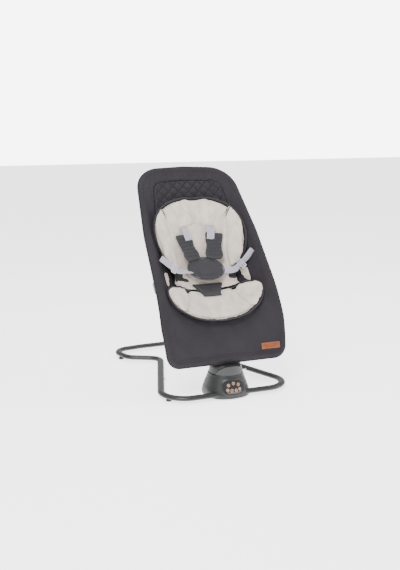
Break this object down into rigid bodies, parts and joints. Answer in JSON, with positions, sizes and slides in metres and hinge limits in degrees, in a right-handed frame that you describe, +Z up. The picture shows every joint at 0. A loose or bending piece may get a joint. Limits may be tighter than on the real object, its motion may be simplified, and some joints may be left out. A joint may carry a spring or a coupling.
{
  "type": "bouncer seat",
  "caption": "Powered swaying baby bouncer: looped tube floor frame, round motor pod and a reclining sling seat with a padded insert and harness.",
  "frame": {"origin": "on the floor, under the centre of the whole object's bounding box", "axes": "+Z up, the seat and the control panel face -Y, +X is the right side seen from the front"},
  "size_m": [0.4318, 0.6573, 0.6943],
  "materials": {
    "tube_grey": "satin",
    "pod_grey": "satin",
    "steel": "satin",
    "black_gloss": "gloss",
    "rubber": "matte",
    "pad_grey": "matte",
    "board_green": "matte",
    "nylon_white": "satin",
    "plum_fabric": "matte",
    "beige_velour": "matte",
    "webbing_white": "matte",
    "tan_patch": "satin",
    "bronze": "satin"
  },
  "bodies": {
    "base": {"front_base_tube": "tube_grey", "rear_base_tube": "tube_grey", "base_spigot_left": "steel", "base_spigot_right": "steel", "foot_front_left": "rubber", "foot_front_right": "rubber", "foot_rear_left": "rubber", "foot_rear_right": "rubber", "pod_housing": "pod_grey", "pod_base_plate": "pod_grey", "pod_foot_ring": "rubber", "control_lens": "black_gloss", "control_board": "board_green", "power_inlet": "black_gloss", "speaker": "black_gloss", "motor": "steel", "motor_bracket": "steel", "shaft_bearing_lower": "bronze", "shaft_bearing_upper": "bronze", "tube_clamp_left": "pod_grey", "tube_clamp_right": "pod_grey"},
    "swing_head": {"sector_gear": "nylon_white", "sway_shaft": "steel", "swing_head_shell": "pod_grey", "shaft_nut": "steel", "hinge_ear_left": "pod_grey", "hinge_ear_right": "pod_grey", "recline_pin": "steel"},
    "pinion": {"motor_pinion": "bronze"},
    "seat": {"belt_slider_left": "nylon_white", "belt_slider_right": "nylon_white", "buckle": "nylon_white", "buckle_cover": "plum_fabric", "clamp_screw_left": "steel", "clamp_screw_right": "steel", "crotch_pad": "pad_grey", "insert_head": "beige_velour", "insert_seat": "beige_velour", "label_patch": "tan_patch", "lever_pin": "steel", "rail_clamp_left": "pod_grey", "rail_clamp_right": "pod_grey", "rail_splice_left": "steel", "rail_splice_right": "steel", "seat_carrier": "pod_grey", "seat_cover": "plum_fabric", "seat_lower_tube": "tube_grey", "seat_upper_tube": "tube_grey", "shoulder_pad_left": "pad_grey", "shoulder_pad_right": "pad_grey", "shoulder_strap_left": "webbing_white", "shoulder_strap_right": "webbing_white", "support_arm_left": "tube_grey", "support_arm_right": "tube_grey", "waist_belt_left": "webbing_white", "waist_belt_right": "webbing_white"},
    "lever": {"recline_lever": "black_gloss"},
    "release": {"buckle_button": "tan_patch"},
    "snap_left": {"snap_button_left": "steel"},
    "snap_right": {"snap_button_right": "steel"}
  },
  "joints": [
    {"name": "sway", "type": "hinge", "parent": "base", "child": "swing_head", "pos_m": [0, -0.257, 0.08], "axis": [0, 0, 1], "range_deg": [-10, 10]},
    {"name": "pinion_spin", "type": "hinge", "parent": "base", "child": "pinion", "pos_m": [0, -0.2148, 0.03], "axis": [0, 0, 1], "range_deg": [-31, 31]},
    {"name": "recline", "type": "hinge", "parent": "swing_head", "child": "seat", "pos_m": [0, -0.237, 0.122], "axis": [-1, 0, 0], "range_deg": [0, 20]},
    {"name": "recline_release", "type": "hinge", "parent": "seat", "child": "lever", "pos_m": [0, -0.2035, 0.15], "axis": [-1, 0, 0], "range_deg": [0, 18], "stiffness_Nm_per_rad": 0.15, "springref_deg": -5.73},
    {"name": "buckle_release", "type": "slide", "parent": "seat", "child": "release", "axis": [0, 0.6481, 0.7615], "range_m": [0, 0.003], "stiffness_N_per_m": 300, "springref_m": -0.001},
    {"name": "snap_left_press", "type": "slide", "parent": "base", "child": "snap_left", "axis": [-0.9439, 0.3304, 0], "range_m": [0, 0.003], "stiffness_N_per_m": 400, "springref_m": -0.001},
    {"name": "snap_right_press", "type": "slide", "parent": "base", "child": "snap_right", "axis": [0.9439, 0.3304, 0], "range_m": [0, 0.003], "stiffness_N_per_m": 400, "springref_m": -0.001}
  ],
  "couplings": [
    {"joint": "pinion_spin", "follows": "sway", "ratio": -3}
  ]
}
